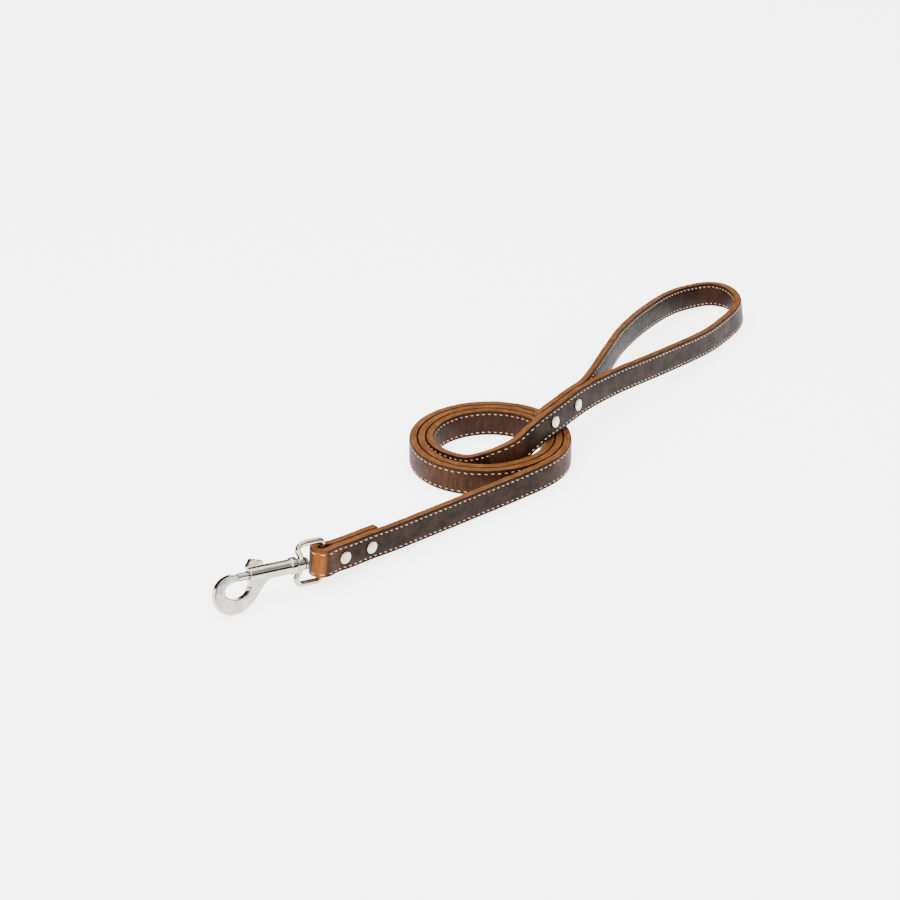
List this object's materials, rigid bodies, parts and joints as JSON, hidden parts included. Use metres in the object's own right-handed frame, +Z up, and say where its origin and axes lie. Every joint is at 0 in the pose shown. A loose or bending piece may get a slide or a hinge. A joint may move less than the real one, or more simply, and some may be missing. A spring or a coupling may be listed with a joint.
{
  "type": "training leash",
  "caption": "Two-ply leather training leash, coiled on its edge, with a swivel bolt snap riveted to one end and a riveted hand loop at the other.",
  "frame": {"origin": "on the surface the leash lies on, below the middle of its bounding box", "axes": "+X runs along the laid-out leash from the snap to the hand loop, +Z is up, and +Y is the side away from the face with the rivet caps"},
  "size_m": [0.5099, 0.0947, 0.0338],
  "materials": {
    "leather_dark": "dark brown pull-up leather with tan raw edges, satin",
    "leather_lining": "dark brown leather with tan raw edges, satin",
    "polished_nickel": "polished nickel plate",
    "rivet_nickel": "bright nickel plate, slightly warm",
    "spring_steel": "drawn wire"
  },
  "bodies": {
    "strap": {"face_leather": "leather_dark", "lining_leather": "leather_lining", "snap_rivet_1_cap": "rivet_nickel", "snap_rivet_1_back": "rivet_nickel", "snap_rivet_2_cap": "rivet_nickel", "snap_rivet_2_back": "rivet_nickel", "loop_rivet_1_cap": "rivet_nickel", "loop_rivet_1_back": "rivet_nickel", "loop_rivet_2_cap": "rivet_nickel", "loop_rivet_2_back": "rivet_nickel"},
    "eye": {"swivel_eye": "polished_nickel"},
    "snap": {"snap_body": "polished_nickel", "swivel_pin": "polished_nickel", "bolt_spring": "spring_steel"},
    "bolt": {"bolt": "polished_nickel", "thumb_stud": "polished_nickel"}
  },
  "joints": [
    {"name": "eye_hinge", "type": "hinge", "parent": "strap", "child": "eye", "pos_m": [-0.1923, -0.0076, 0.01455], "axis": [0.0704, -0.0306, 0.9971], "range_deg": [-79, 98]},
    {"name": "snap_swivel", "type": "hinge", "parent": "eye", "child": "snap", "pos_m": [-0.1923, -0.0076, 0.01455], "axis": [-0.9144, 0.3976, 0.0767], "continuous": true},
    {"name": "bolt_slide", "type": "slide", "parent": "snap", "child": "bolt", "axis": [0.9144, -0.3976, -0.0767], "range_m": [0, 0.007], "stiffness_N_per_m": 400, "springref_m": -0.008, "deforming": ["bolt_spring"]}
  ]
}
